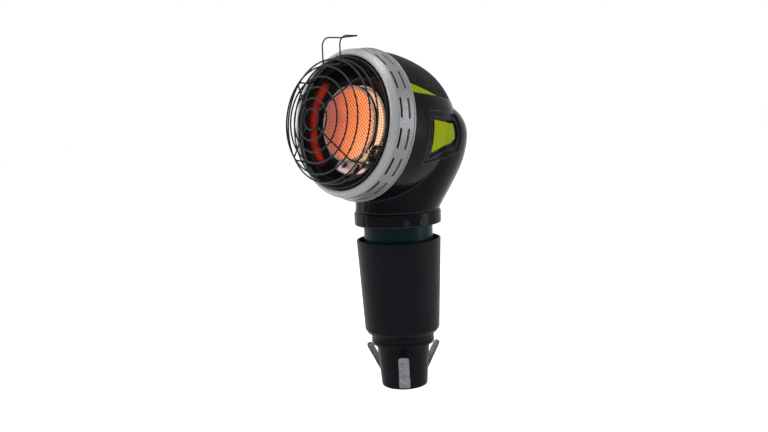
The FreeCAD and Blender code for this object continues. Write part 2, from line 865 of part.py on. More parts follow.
def heat_shield():
    """Pan behind the reflector: it carries the burner and is screwed to the shells."""
    back = shield_seat
    edge = bezel_rear_radius - bezel_wall - 0.4
    slope = (bezel_rear_radius - bezel_front_radius) / (bezel_shoulder - bezel_rear)
    flange = 7.0
    hole = plenum_radius() + 0.2
    pan = turned([
        (hole, back, 0), (edge, back, 0), (edge - slope * flange, back + flange, 0),
        (edge - slope * flange - shield_wall, back + flange, 0),
        (edge - shield_wall * 1.2, back + shield_wall, 0), (hole, back + shield_wall, 0)])
    screw_hole = post(screw_radius + 0.1, back - 1, back + 2, shield_screw_orbit(), 0)
    holes = [around(screw_hole, angle) for angle in shield_screw_angles]
    for offset, size in ((-pilot_spread, 3.4), (0.0, 4.8), (pilot_spread, 2.9)):
        hole_at = around(post(size, back - 1, back + 2, pilot_orbit, 0), pilot_angle + offset)
        holes.append(hole_at)
    return placed(pan.cut(holes), head_frame)


# Pilot group

def pilot_bracket():
    """Sheet bracket on the heat shield that holds pilot, electrode and thermocouple."""
    seat = shield_seat + shield_wall + 0.05
    sheet = 1.2
    level = burner_face - 7.0
    inner = pilot_orbit - 6.2
    outside = pilot_orbit + 7.0
    strips = (
        (inner, level, outside, level + sheet), (outside - sheet, seat, outside, level + sheet),
        (outside - sheet, seat, outside + 7.0, seat + sheet),
        (inner, seat, inner + sheet, burner_face - 2.5))
    sweep = 3.2 * pilot_spread
    bent = []
    for near, low, far, high in strips:
        bent.append(turned([(near, low, 0), (far, low, 0), (far, high, 0), (near, high, 0)], sweep))
    bracket = around(bent[0].fuse(bent[1:]), pilot_angle - sweep / 2)
    holes = [around(post(size, level - 1, level + 2, pilot_orbit, 0), pilot_angle + offset)
             for offset, size in ((-pilot_spread, 3.1), (0.0, 4.55), (pilot_spread, 2.55))]
    return placed(bracket.cut(holes), head_frame)


def pilot_burner():
    """Brass pilot tube with a slotted hood."""
    back = shield_seat - 6.0
    body = post(4.5, back, burner_face - 1.0, pilot_orbit, 0)
    hood = tube(5.6, 4.4, burner_face - 2.0, burner_face + 7.0, pilot_orbit, 0)
    slot = block(pilot_orbit - 8.0, -1.6, burner_face + 1.0, pilot_orbit + 8.0, 1.6, burner_face + 8.0)
    cap = post(5.6, burner_face + 6.0, burner_face + 7.2, pilot_orbit, 0)
    return placed(around(body.fuse([hood.cut(slot), cap]), pilot_angle), head_frame)


def thermocouple():
    back = shield_seat - 4.0
    probe = post(2.5, back, burner_face - 4.0, pilot_orbit, 0)
    tip = post(1.7, burner_face - 5.0, burner_face + 9.0, pilot_orbit, 0)
    ball = Part.makeSphere(1.7, V(pilot_orbit, 0, burner_face + 9.0))
    return placed(around(probe.fuse([tip, ball]), pilot_angle + pilot_spread), head_frame)


def igniter_electrode():
    """Ceramic sleeve with a steel wire bent towards the pilot hood."""
    back = shield_seat - 4.0
    front = burner_face - 3.0
    sleeve = turned([(0, back, 0), (3.0, back, 0), (3.0, front, 1.0), (0, front, 0)])
    bend = (V(0, 0, burner_face + 4.5), 1.8)
    spark = wire_along([(V(0, 0, burner_face - 4.0), 0), bend, (V(0, 3.6, burner_face + 7.0), 0)], 0.7)
    rod = sleeve.fuse(spark)
    rod.translate(V(pilot_orbit, 0, 0))
    return placed(around(rod, pilot_angle - pilot_spread), head_frame)


# Bezel

def bezel_ring():
    """Pressed ring: a hem over the housing's mouth, a slotted cone, a rolled front and an inner wall."""
    w = bezel_wall
    rear = bezel_rear_radius
    hem = rear + hem_rise
    slope = (rear - bezel_front_radius) / (bezel_shoulder - bezel_rear)
    opening = bezel_opening
    face = bezel_face
    low = face - bezel_lip_depth
    ring = turned([
        (hem, bezel_rear - hem_width + 0.4, 0.4), (hem, bezel_rear + 0.4, 0.5),
        (rear - 0.1, bezel_rear + 0.7, 0), (bezel_front_radius, bezel_shoulder, 3.5),
        (opening + 4.5, face - 2.6, 2.0),
        (opening + 3.4, face, 1.4), (opening, face, 1.3), (opening, low, 0), (opening + w, low, 0),
        (opening + w, face - w - 1.0, 0.4), (opening + 3.2 - w / 2, face - w - 1.0, 0.2),
        (opening + 4.0 - w / 2, face - w - 3.2, 0.4),
        (bezel_front_radius - w, bezel_shoulder - w * 0.6, 1.5),
        (rear - w, bezel_rear, 0), (bowl_radius + 0.3, bezel_rear, 0),
        (bowl_radius + 0.3, bezel_rear - hem_width + 0.4, 0)])
    slots = []
    for level in slot_rows:
        radius = bezel_rear_radius - slope * (level - bezel_rear)
        half = slot_width / 2
        arc = slot_sweep - math.degrees(slot_width / radius)
        bar = turned([
            (radius - 5, level - half, 0), (radius + 4, level - half, 0),
            (radius + 4, level + half, 0), (radius - 5, level + half, 0)], arc)
        ends = [Part.makeCylinder(half, 9.0, V(radius - 5, 0, level), V(1, 0, 0))]
        ends.append(around(ends[0], arc))
        bar = around(bar.fuse(ends), -arc / 2)
        for index in range(slot_count):
            slots.append(around(bar, (index + 0.5) * 360.0 / slot_count + 90.0))
    return placed(ring.cut(slots), head_frame)


# Guard

def ring_wire(radius, level):
    return Part.makeTorus(radius, wire_radius, V(0, 0, level), V(0, 0, 1))


def guard_rings(sizes):
    return placed(Part.makeCompound([ring_wire(radius, level) for radius, level in sizes]), head_frame)


def guard_ribs():
    """Four bent wires behind the rings, from the centre out and back to the bezel."""
    back = 2 * wire_radius
    first, second, third, fourth, fifth = face_ring_sizes
    near, middle, last = side_ring_sizes
    foot_radius = bezel_opening - 0.1
    under = last[0] - back - 0.1
    ribs = []
    for angle in rib_angles:
        corners = [(V(first[0] - 1.0, 0, first[1] - back), 0)]
        for radius, level in (second, third, fourth):
            corners.append((V(radius, 0, level - back - 0.1), 12.0))
        corners.append((V(fifth[0] + 3.4, 0, fifth[1] - back - 1.4), 4.0))
        corners.append((V(near[0] - back - 0.1, 0, near[1] + 1.0), 4.0))
        corners.append((V(middle[0] - back - 0.3, 0, middle[1]), 12.0))
        corners.append((V(under, 0, last[1] + 1.0), 8.0))
        corners.append((V(under, 0, rib_foot), 1.6))
        corners.append((V(foot_radius, 0, rib_foot), 0))
        ribs.append(placed(around(wire_along(corners, wire_radius), angle), head_frame))
    return Part.makeCompound(ribs)


def guard_loop():
    """Bent wire on top of the guard that keeps things clear of the hot rim."""
    radius, level = side_ring_sizes[0]
    drop = math.sqrt(radius ** 2 - loop_half_width ** 2)
    touch = placed(Part.Vertex(V(0, drop, level)), head_frame).Point
    y = touch.y + wire_radius + loop_wire
    bottom = touch.z - 5.0
    top = bottom + loop_height
    x = loop_half_width
    back = y + loop_back
    corners = [
        (V(0, y, bottom), 0), (V(x, y, bottom), 3.0), (V(x, y, top), loop_bend), (V(x, back, top), 2.5),
        (V(-x, back, top), 2.5), (V(-x, y, top), loop_bend), (V(-x, y, bottom), 3.0)]
    return wire_along(corners, loop_wire, True)


# Control stack

def knob_frame():
    return control_frame(knob_place, knob_lean)


def dial_plate():
    """Ring in the well round the knob, with three raised position bars."""
    low = -well_depth + 0.05
    ring = tube(well_radius - 0.3, stem_radius + 4.0, low, low + dial_thickness)
    bars = []
    for angle in (90.0, 150.0, 210.0):
        face = low + dial_thickness
        bar = block(knob_radius + 1.2, -0.5, face - 0.1, well_radius - 1.0, 0.5, face + 0.4)
        bars.append(around(bar, angle))
    return placed(ring.fuse(bars), head_frame, knob_frame())


def knob_bottom():
    return -well_depth + dial_thickness + plunger_travel + 0.8


def control_knob():
    low = knob_bottom()
    top = low + knob_height
    skirt = turned([
        (0, low, 0), (knob_radius, low, 0.6), (knob_radius - 0.8, low + 4.0, 0.8),
        (knob_radius - 2.5, low + 5.0, 0.8), (knob_radius - 3.2, top, 1.5), (0, top, 0)])
    flutes = [around(post(1.6, low + 5.0, top + 1, knob_radius - 2.0, 0), i * 30.0) for i in range(12)]
    pointer = block(3.0, -0.7, top - 0.5, knob_radius - 4.0, 0.7, top + 0.6)
    hub = post(stem_radius + 0.02, low - 1, low + 6.0)
    return placed(skirt.cut(flutes + [hub]).fuse(around(pointer, 90.0)), head_frame, knob_frame())


def valve_top():
    return -well_depth - 2.4 - valve_neck


def valve_stem():
    stem = tube(stem_radius, plunger_radius + running_gap, valve_top() - 8.0, knob_bottom() + 5.9)
    return placed(stem, head_frame, knob_frame())


def plunger_seat():
    return valve_top() - 8.0 - plunger_travel - 1.0


def valve_plunger():
    rod = post(plunger_radius, plunger_seat() - 2.0, knob_bottom() - 2.0)
    pad = post(5.0, plunger_seat() - 2.0, plunger_seat())
    tail = post(1.6, plunger_seat() - 9.0, plunger_seat() - 1.0)
    return placed(rod.fuse([pad, tail]), head_frame, knob_frame())


def plunger_spring():
    """Return spring under the plunger's pad, kept as its sleeve."""
    return placed(tube(4.4, 1.9, plunger_seat() - 8.4, plunger_seat() - 2.05), head_frame, knob_frame())


def valve_body():
    half = valve_width / 2
    top = valve_top()
    body = block(-half - 2.0, -half, top - valve_length, half + 2.0, half, top)
    neck_post = post(7.5, top - 1.0, -well_depth - 2.45)
    chamber = post(5.4, plunger_seat() - 2.0 - 10.5, top - 7.8)
    bore = post(stem_radius + running_gap, top - 9.0, 1.0)
    spud = Part.makeCylinder(gas_tube_radius + 2.0, 4.0, V(0, -half, top - 17.0), V(0, -1, 0))
    side = Part.makeCylinder(pilot_tube_radius + 2.0, 4.0, V(half + 2.0, 0, top - 26.0), V(1, 0, 0))
    foot = post(gas_tube_radius + 2.0, top - valve_length - 4.0, top - valve_length + 0.5)
    shape = body.fuse([neck_post, spud, side, foot]).cut([chamber, bore])
    return placed(shape, head_frame, knob_frame())


def in_world(point, *frames):
    for frame in reversed(frames):
        point = frame.multVec(point)
    return point


def main_gas_tube():
    """From the regulator straight up, then along the valve's axis into its foot."""
    end = in_world(V(0, 0, valve_top() - valve_length - 4.1), head_frame, knob_frame())
    seat = in_world(V(0, 0, 0), head_frame, knob_frame())
    heading = in_world(V(0, 0, -1), head_frame, knob_frame()) - seat
    run = -end.y / heading.y
    corner = end + heading * run
    start = V(0, 0, regulator_top() + 0.05)
    bend = min(14.0, 0.9 * run / math.tan(heading.getAngle(V(0, 0, -1)) / 2))
    return wire_along([(start, 0), (corner, bend), (end, 0)], gas_tube_radius)


def burner_gas_tube():
    """From the valve's front spud, forward and down into the orifice block."""
    half = valve_width / 2
    frame = knob_frame()
    start = in_world(V(0, -half - 4.1, valve_top() - 17.0), frame)
    heading = in_world(V(0, -1, 0), frame) - in_world(V(0, 0, 0), frame)
    tail = plenum_back() + 8.0 - mixing_length - 7.0
    run = (tail - start.z) / heading.z
    end = V(0, orifice_radius + 3.05, tail)
    bend = min(7.0, 0.9 * run / math.tan(heading.getAngle(V(0, -1, 0)) / 2))
    route = [(start, 0), (start + heading * run, bend), (end, 0)]
    return placed(wire_along(route, gas_tube_radius - 1.0), head_frame)


def pilot_gas_tube():
    """Thin tube from the valve's side to the back of the pilot."""
    frame = knob_frame()
    start = in_world(V(valve_width / 2 + 6.1, 0, valve_top() - 26.0), frame)
    turn = math.radians(pilot_angle)
    end = V(pilot_orbit * math.cos(turn), pilot_orbit * math.sin(turn), shield_seat - 6.1)
    out = V(end.x, start.y, start.z)
    low = V(end.x, end.y, start.z + 24.0)
    route = [(start, 0), (out, 8.0), (low, 10.0), (end, 0)]
    return placed(wire_along(route, pilot_tube_radius), head_frame)


# Igniter

def button_frame():
    return control_frame(button_place, button_lean)


def igniter_button():
    low = button_proud - 5.0
    cap = turned([
        (0, low, 0), (button_radius, low, 0.4), (button_radius, button_proud, 1.6),
        (0, button_proud + 0.8, 0)])
    pin = post(4.0, -26.0, low + 0.5)
    return placed(cap.fuse(pin), head_frame, button_frame())


def piezo_igniter():
    top = -8.05
    low = top - piezo_length
    body = turned([
        (0, low, 0), (piezo_radius - 2.0, low, 1.0), (piezo_radius, low + 6.0, 0),
        (piezo_radius, top, 0.6), (0, top, 0)])
    bore = post(4.0 + running_gap, -32.0, 0)
    return placed(body.cut(bore), head_frame, button_frame())


parts = {
    "adapter_cup": adapter_cup(),
    "clip_feet": clip_feet(),
    "clip_rivets": clip_rivets(),
    "propane_cylinder": propane_cylinder(),
    "cylinder_valve": cylinder_valve(),
    "inlet_seal": inlet_seal(),
    "regulator": regulator(),
    "tip_switch": tip_switch(),
    "front_bezel": bezel_ring(),
    "guard_face_rings": guard_rings(face_ring_sizes),
    "guard_side_rings": guard_rings(side_ring_sizes),
    "guard_ribs": guard_ribs(),
    "guard_loop": guard_loop(),
    "reflector": reflector(),
    "reflector_flange": reflector_flange(),
    "heat_shield": heat_shield(),
    "shield_screws": shield_screws(),
    "burner_tile": burner_tile(),
    "burner_screen": burner_screen(),
    "burner_rim": burner_rim(),
    "burner_plenum": burner_plenum(),
    "mixing_tube": mixing_tube(),
    "orifice_holder": orifice_holder(),
    "pilot_bracket": pilot_bracket(),
    "pilot_burner": pilot_burner(),
    "thermocouple": thermocouple(),
    "igniter_electrode": igniter_electrode(),
    "valve_body": valve_body(),
    "valve_stem": valve_stem(),
    "valve_plunger": valve_plunger(),
    "plunger_spring": plunger_spring(),
    "control_knob": control_knob(),
    "dial_plate": dial_plate(),
    "main_gas_tube": main_gas_tube(),
    "burner_gas_tube": burner_gas_tube(),
    "pilot_gas_tube": pilot_gas_tube(),
    "igniter_button": igniter_button(),
    "piezo_igniter": piezo_igniter(),
    "top_cover": top_cover(),
    "accent_strip_right": accent_strip(),
    "label_plate_right": label_plate(),
    "housing_screws": housing_screws(),
    "cover_screws": cover_screws(),
    "collar_screws": collar_screws(),
}
for name, angle in clip_angles.items():
    parts[name] = clip_leaf(angle)
parts["accent_strip_left"] = mirrored(parts["accent_strip_right"])
parts["label_plate_left"] = mirrored(parts["label_plate_right"])
whole_housing = housing()
right_half = block(parting_gap, -FAR, 0, FAR, FAR, 2 * head_z)
left_half = block(-FAR, -FAR, 0, -parting_gap, FAR, 2 * head_z)
parts["housing_right"] = whole_housing.common(right_half)
parts["housing_left"] = whole_housing.common(left_half)

os.makedirs("parts", exist_ok=True)
for name, shape in parts.items():
    shape.exportStep("parts/" + name + ".step")
    print(name, "solids", len(shape.Solids), "valid", shape.isValid(), "volume", round(shape.Volume, 1))
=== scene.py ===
import math

import bmesh
import bpy
from mathutils import Matrix, Vector


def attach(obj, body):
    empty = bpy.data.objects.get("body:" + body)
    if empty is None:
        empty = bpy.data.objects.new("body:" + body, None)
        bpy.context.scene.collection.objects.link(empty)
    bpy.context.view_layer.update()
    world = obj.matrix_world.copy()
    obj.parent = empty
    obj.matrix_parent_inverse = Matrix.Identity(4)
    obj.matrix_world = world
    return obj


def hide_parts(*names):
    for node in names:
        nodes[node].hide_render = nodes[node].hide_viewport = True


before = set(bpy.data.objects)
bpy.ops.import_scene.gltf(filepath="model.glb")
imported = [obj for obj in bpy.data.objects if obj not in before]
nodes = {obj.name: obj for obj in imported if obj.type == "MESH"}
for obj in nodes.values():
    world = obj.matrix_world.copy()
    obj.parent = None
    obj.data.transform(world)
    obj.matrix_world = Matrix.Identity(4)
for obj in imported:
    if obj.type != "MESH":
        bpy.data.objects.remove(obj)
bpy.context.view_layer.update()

# Viewpoint.
# The camera stands in front of the heater, towards +X and a little above the
# middle of the sleeve, and is rolled slightly as the photograph is.
camera_turn = math.radians(45.35)
camera_rise = math.radians(7.64)
camera_roll = math.radians(-2.62)
camera_place = Vector((0.8861, -0.9028, 0.4170))
picture_width = 768.0
focal_pixels = 893.0
sensor_width = 36.0


def show(name, data):
    """An object that holds the data, linked into the scene."""
    shown = bpy.data.objects.new(name, data)
    bpy.context.scene.collection.objects.link(shown)
    return shown


camera_lens = bpy.data.cameras.new("camera")
camera_lens.sensor_width = sensor_width
camera_lens.lens = focal_pixels * sensor_width / picture_width
camera_lens.clip_start = 0.05
camera = show("camera", camera_lens)
camera.matrix_world = (
    Matrix.Translation(camera_place)
    @ Matrix.Rotation(camera_turn, 4, "Z")
    @ Matrix.Rotation(math.pi / 2 - camera_rise, 4, "X")
    @ Matrix.Rotation(camera_roll, 4, "Z")
)
bpy.context.scene.camera = camera


# Cup adapter.
# One blow-moulded tube of black polyethylene: a tapered foot for the cup
# holder, a stepped ledge, and the wide sleeve that the gas cylinder stands in.

def finish(name, colour, roughness, metallic=0.0, specular=0.5):
    """A new node material with its plain values on the shader's own sockets."""
    material = bpy.data.materials.new(name)
    material.use_nodes = True
    shader = material.node_tree.nodes["Principled BSDF"]
    shader.inputs["Base Color"].default_value = (*colour, 1.0)
    shader.inputs["Roughness"].default_value = roughness
    shader.inputs["Metallic"].default_value = metallic
    shader.inputs["Specular IOR Level"].default_value = specular
    return material, shader


def add_node(owner, kind, *feeds, **settings):
    """A node in a material, a world or a group, with (source, input) feeds."""
    tree = owner if isinstance(owner, bpy.types.NodeTree) else owner.node_tree
    node = tree.nodes.new(kind)
    for name, value in settings.items():
        if hasattr(node, name):
            setattr(node, name, value)
        else:
            node.inputs[name.replace("_", " ")].default_value = value
    for source, target in feeds:
        tree.links.new(source, node.inputs[target])
    return node


def wire(owner, source, target):
    owner.node_tree.links.new(source, target)


def paint(material, *names):
    """The material in place of all others on the named nodes."""
    for name in names:
        nodes[name].data.materials.clear()
        nodes[name].data.materials.append(material)


def new_group(name, inputs, outputs):
    """A shader node group with the named sockets, and its input and output nodes."""
    group = bpy.data.node_groups.new(name, "ShaderNodeTree")
    for socket, kind, value in inputs:
        made = group.interface.new_socket(socket, in_out="INPUT", socket_type=kind)
        if value is not None:
            made.default_value = value
    for socket, kind in outputs:
        group.interface.new_socket(socket, in_out="OUTPUT", socket_type=kind)
    return group, group.nodes.new("NodeGroupInput"), group.nodes.new("NodeGroupOutput")


def ramp(owner, source, start, end, **settings):
    """A mask that goes from 0 to 1, or between other levels, from start to end."""
    feed = (source, "Value")
    return add_node(owner, "ShaderNodeMapRange", feed, From_Min=start, From_Max=end, **settings).outputs[0]


moulded_skin, skin_in, skin_out = new_group(
    "moulded skin",
    [
        ("Vector", "NodeSocketVector", None),
        ("Grain", "NodeSocketFloat", 900.0),
        ("Drift", "NodeSocketFloat", 25.0),
    ],
    [("Height", "NodeSocketFloat"), ("Haze", "NodeSocketFloat")],
)
skin_place, skin_fine, skin_broad = skin_in.outputs[0], skin_in.outputs[1], skin_in.outputs[2]
skin_grain = add_node(
    moulded_skin, "ShaderNodeTexNoise", (skin_place, "Vector"), (skin_fine, "Scale"), Detail=2.0)
skin_drift = add_node(
    moulded_skin, "ShaderNodeTexNoise", (skin_place, "Vector"), (skin_broad, "Scale"), Detail=3.0)
skin_height = add_node(
    moulded_skin, "ShaderNodeMix", (skin_grain.outputs[0], 2), (skin_drift.outputs[0], 3), Factor=0.25)
skin_haze = ramp(moulded_skin, skin_drift.outputs[0], 0.3, 0.7)
moulded_skin.links.new(skin_height.outputs[0], skin_out.inputs[0])
moulded_skin.links.new(skin_haze, skin_out.inputs[1])


def object_coords(material):
    return add_node(material, "ShaderNodeTexCoord").outputs["Object"]


def bump(material, shader, height, strength, distance, edge=0.0):
    """A bump on the surface, whose corners are softened by an edge radius if one is given."""
    node = add_node(material, "ShaderNodeBump", (height, "Height"), Strength=strength, Distance=distance)
    wire(material, node.outputs[0], shader.inputs["Normal"])
    if edge:
        round_edge = add_node(material, "ShaderNodeBevel", Radius=edge)
        wire(material, round_edge.outputs[0], node.inputs["Normal"])


def vary(material, shader, source, socket, low, high):
    """A socket that drifts between two values with a mask."""
    span = add_node(material, "ShaderNodeMapRange", (source, "Value"), To_Min=low, To_Max=high)
    wire(material, span.outputs[0], shader.inputs[socket])


def tint(material, shader, mask, first, second, socket="Base Color"):
    """A colour that turns from the first to the second with a mask."""
    mix = add_node(material, "ShaderNodeMix", (mask, 0), data_type="RGBA")
    mix.inputs[6].default_value = (*first, 1.0)
    mix.inputs[7].default_value = (*second, 1.0)
    wire(material, mix.outputs[2], shader.inputs[socket])


def skin(material, shader, grain, drift, strength, distance, rough, edge=0.0):
    """The moulded skin in a material, feeding its bump and roughness; gives its haze."""
    feed = (object_coords(material), "Vector")
    node = add_node(material, "ShaderNodeGroup", feed, node_tree=moulded_skin, Grain=grain, Drift=drift)
    bump(material, shader, node.outputs["Height"], strength, distance, edge)
    vary(material, shader, node.outputs["Haze"], "Roughness", *rough)
    return node.outputs["Haze"]


adapter_black, shader = finish("adapter black", (0.005, 0.005, 0.006), 0.40, specular=0.05)
adapter_haze = skin(adapter_black, shader, 1400.0, 18.0, 0.25, 0.0004, (0.34, 0.44), 0.0006)
tint(adapter_black, shader, adapter_haze, (0.004, 0.004, 0.006), (0.006, 0.006, 0.009))
paint(adapter_black, "adapter_cup")


# Spring clips.
# Three leaves of spring strip, galvanised to a dull, spangled zinc face. They are
# riveted to the adapter's base and press outwards on the cup holder's wall.
clip_steel, shader = finish("clip steel", (0.13, 0.13, 0.14), 0.38, 1.0)
spangle = add_node(
    clip_steel, "ShaderNodeTexVoronoi", (object_coords(clip_steel), "Vector"), Scale=260.0, feature="F1")
spangle_tone = add_node(clip_steel, "ShaderNodeSeparateColor", (spangle.outputs["Color"], 0))
tint(clip_steel, shader, spangle_tone.outputs[0], (0.11, 0.11, 0.12), (0.19, 0.19, 0.20))
vary(clip_steel, shader, spangle_tone.outputs[1], "Roughness", 0.30, 0.46)
bump(clip_steel, shader, spangle.outputs["Distance"], 0.15, 0.0004)
paint(clip_steel, "clip_feet", "clip_front", "clip_right", "clip_left")

rivet_steel, shader = finish("rivet steel", (0.20, 0.20, 0.21), 0.45, 1.0)
rivet_dimple = add_node(
    rivet_steel, "ShaderNodeTexNoise", (object_coords(rivet_steel), "Vector"), Scale=900.0)
bump(rivet_steel, shader, rivet_dimple.outputs[0], 0.2, 0.0003)
vary(rivet_steel, shader, rivet_dimple.outputs[0], "Roughness", 0.40, 0.52)
paint(rivet_steel, "clip_rivets")


# Gas cylinder.
# A drawn and welded steel can in dark green enamel with a slight orange peel.
# Its fitting is turned from brass, and a moulded rubber washer seals it.
cylinder_green, shader = finish("cylinder green", (0.002, 0.014, 0.013), 0.28, specular=0.05)
cylinder_haze = skin(cylinder_green, shader, 260.0, 30.0, 0.10, 0.0006, (0.24, 0.34))
tint(cylinder_green, shader, cylinder_haze, (0.001, 0.012, 0.011), (0.003, 0.016, 0.015))
paint(cylinder_green, "propane_cylinder")

turned_brass, shader = finish("turned brass", (0.78, 0.57, 0.26), 0.28, 1.0)
turning = add_node(
    turned_brass, "ShaderNodeTexWave", (object_coords(turned_brass), "Vector"),
    wave_type="RINGS", rings_direction="Z", Scale=500.0, Distortion=0.5)
bump(turned_brass, shader, turning.outputs["Fac"], 0.12, 0.0003)
vary(turned_brass, shader, turning.outputs["Fac"], "Roughness", 0.22, 0.36)
paint(turned_brass, "cylinder_valve", "valve_stem", "valve_plunger", "orifice_holder")

seal_rubber, shader = finish("seal rubber", (0.02, 0.02, 0.02), 0.7)
skin(seal_rubber, shader, 1200.0, 80.0, 0.3, 0.0003, (0.62, 0.78))
paint(seal_rubber, "inlet_seal")


# Regulator, valve block and tubes.
# Die-cast zinc and aluminium bodies with a tumbled surface, joined by soft drawn
# tube. The tip-over switch and the igniter's body are moulded in dark plastic.
cast_alloy, shader = finish("cast alloy", (0.58, 0.59, 0.60), 0.45, 1.0)
cast_haze = skin(cast_alloy, shader, 500.0, 60.0, 0.35, 0.0005, (0.38, 0.56))
tint(cast_alloy, shader, cast_haze, (0.52, 0.53, 0.54), (0.64, 0.65, 0.66))
paint(cast_alloy, "regulator", "valve_body")

drawn_tube, shader = finish("drawn tube", (0.70, 0.71, 0.72), 0.32, 1.0)
skin(drawn_tube, shader, 700.0, 90.0, 0.12, 0.0003, (0.26, 0.42))
paint(drawn_tube, "main_gas_tube", "burner_gas_tube", "pilot_gas_tube")

switch_plastic, shader = finish("switch plastic", (0.05, 0.05, 0.055), 0.5)
skin(switch_plastic, shader, 1200.0, 60.0, 0.2, 0.0003, (0.44, 0.58))
paint(switch_plastic, "tip_switch", "piezo_igniter")

spring_wire, shader = finish("spring wire", (0.55, 0.55, 0.57), 0.3, 1.0)
spring_coils = add_node(
    spring_wire, "ShaderNodeTexWave", (object_coords(spring_wire), "Vector"),
    bands_direction="Z", Scale=200.0)
bump(spring_wire, shader, spring_coils.outputs["Fac"], 0.8, 0.0008)
vary(spring_wire, shader, spring_coils.outputs["Fac"], "Roughness", 0.24, 0.40)
paint(spring_wire, "plunger_spring")


# Housing.
# Two side shells of satin black ABS, parted along the middle and screwed
# together, with the collar over the cylinder's neck. Their edges carry a painted highlight.
housing_black, shader = finish("housing black", (0.004, 0.004, 0.006), 0.30, specular=0.05)
skin(housing_black, shader, 1600.0, 22.0, 0.10, 0.0003, (0.17, 0.25), 0.0012)
# Painted highlight: the colour turns paler along every edge, where the rounded normal leaves the flat one.
housing_round = add_node(housing_black, "ShaderNodeBevel", Radius=0.0022).outputs[0]
housing_flat = add_node(housing_black, "ShaderNodeNewGeometry").outputs["Normal"]
housing_turn = add_node(
    housing_black, "ShaderNodeVectorMath", (housing_round, 0), (housing_flat, 1), operation="DOT_PRODUCT")
housing_edge_highlight = ramp(housing_black, housing_turn.outputs["Value"], 0.995, 0.94)
tint(housing_black, shader, housing_edge_highlight, (0.003, 0.003, 0.005), (0.060, 0.060, 0.078))
paint(housing_black, "housing_right", "housing_left")

zinc_screw, shader = finish("zinc screw", (0.55, 0.56, 0.58), 0.35, 1.0)
skin(zinc_screw, shader, 900.0, 120.0, 0.15, 0.0003, (0.28, 0.46))
paint(zinc_screw, "housing_screws", "shield_screws")

black_screw, shader = finish("black screw", (0.006, 0.006, 0.006), 0.5, specular=0.12)
skin(black_screw, shader, 900.0, 120.0, 0.2, 0.0003, (0.36, 0.52))
paint(black_screw, "collar_screws", "cover_screws")


# Top cover.
# A separate lid behind the bezel, moulded in matte black plastic with a coarse
# grain, held by small black screws.
cover_black, shader = finish("cover black", (0.007, 0.007, 0.008), 0.55, specular=0.03)
cover_haze = skin(cover_black, shader, 620.0, 26.0, 0.55, 0.0006, (0.46, 0.60), 0.0008)
tint(cover_black, shader, cover_haze, (0.005, 0.005, 0.006), (0.009, 0.009, 0.010))
paint(cover_black, "top_cover")


# Lime trim.
# Wedge strips beside the cover and the plates in the side recesses: gloss
# plastic moulded in lime, left bare.
lime_gloss, shader = finish("lime gloss", (0.23, 0.28, 0.003), 0.40, specular=0.04)
lime_haze = skin(lime_gloss, shader, 1500.0, 40.0, 0.06, 0.0003, (0.34, 0.44), 0.0005)
tint(lime_gloss, shader, lime_haze, (0.235, 0.285, 0.0), (0.265, 0.315, 0.001))
paint(lime_gloss, "accent_strip_right", "accent_strip_left", "label_plate_right", "label_plate_left")


# Controls at the rear.
# A fluted knob in black plastic, pushed on the valve stem, turns on a silver dial
# ring. The igniter's button is a moulded red cap.
knob_black, shader = finish("knob black", (0.014, 0.014, 0.014), 0.45)
skin(knob_black, shader, 1100.0, 60.0, 0.25, 0.0003, (0.38, 0.52))
paint(knob_black, "control_knob")

dial_silver, shader = finish("dial silver", (0.55, 0.56, 0.57), 0.40, 0.7)
skin(dial_silver, shader, 900.0, 90.0, 0.15, 0.0003, (0.34, 0.48))
paint(dial_silver, "dial_plate")

button_red, shader = finish("button red", (0.50, 0.02, 0.012), 0.25)
button_haze = skin(button_red, shader, 1300.0, 80.0, 0.06, 0.0003, (0.20, 0.32))
tint(button_red, shader, button_haze, (0.46, 0.016, 0.010), (0.54, 0.024, 0.014))
paint(button_red, "igniter_button")


# Burner.
# A hollow cap of pierced ceramic behind a wire screen woven round its face and side.
# It glows dull red towards -X and bright towards +X, where its side wall is pale.
head_place = (0.0, 0.0, 0.370)
head_lean = math.radians(90.0 - 8.2)
head_axis = Matrix.Translation(head_place) @ Matrix.Rotation(head_lean, 4, "X")


def head_coords(material):
    """Coordinates that lie in the head: X across, Y up the face, Z forward."""
    feed = (object_coords(material), "Vector")
    node = add_node(material, "ShaderNodeMapping", feed, vector_type="TEXTURE")
    node.inputs["Location"].default_value = head_place
    node.inputs["Rotation"].default_value = (head_lean, 0.0, 0.0)
    return node.outputs[0]


def product(owner, first, *others):
    """The product of masks."""
    for mask in others:
        first = add_node(owner, "ShaderNodeMath", (first, 0), (mask, 1), operation="MULTIPLY").outputs[0]
    return first


warm_span = (-0.050, 0.050)
hot_span = (-0.030, 0.012)
low_span = (-0.050, 0.0)
drift_share = 0.22
face_edge = (0.0858, 0.0852)
pale_span = (0.0, 0.030)
pale_wall = (0.72, 0.40, 0.23)
glow_stops = (
    (0.0, (0.22, 0.050, 0.042)), (0.22, (0.34, 0.058, 0.038)), (0.5, (0.80, 0.17, 0.045)),
    (0.68, (0.90, 0.25, 0.085)), (0.9, (0.92, 0.38, 0.18)), (1.0, (0.93, 0.44, 0.24)))

